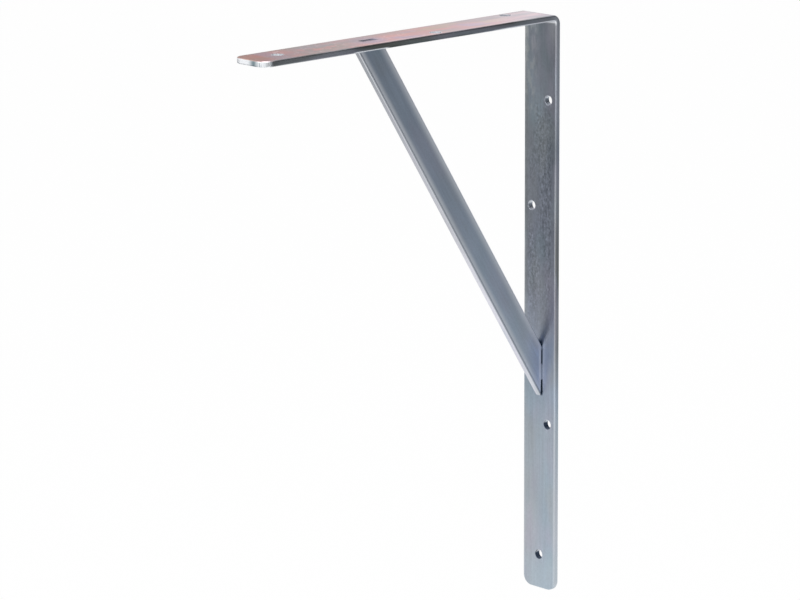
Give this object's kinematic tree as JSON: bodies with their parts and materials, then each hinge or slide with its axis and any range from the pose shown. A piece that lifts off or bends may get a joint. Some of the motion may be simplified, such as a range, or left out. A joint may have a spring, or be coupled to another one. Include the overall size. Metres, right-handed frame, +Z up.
{
  "type": "gallows shelf bracket",
  "caption": "Wall-fixed shelf bracket: a flat steel strip folded into a tall leg and a shelf arm, braced by a slanted strut on edge.",
  "frame": {"origin": "centre of the leg's back face, on the wall plane, half way up the leg", "axes": "+X out of the wall along the shelf arm, +Y across the strip's width, +Z up"},
  "size_m": [0.33, 0.037, 0.5],
  "materials": {
    "zinc_strip": "bright zinc plate, satin, lengthwise rolling lines",
    "zinc_strut": "bright zinc plate, satin, lengthwise rolling lines"
  },
  "bodies": {
    "root": {"angle_strip": "zinc_strip", "strut": "zinc_strut"}
  },
  "joints": []
}
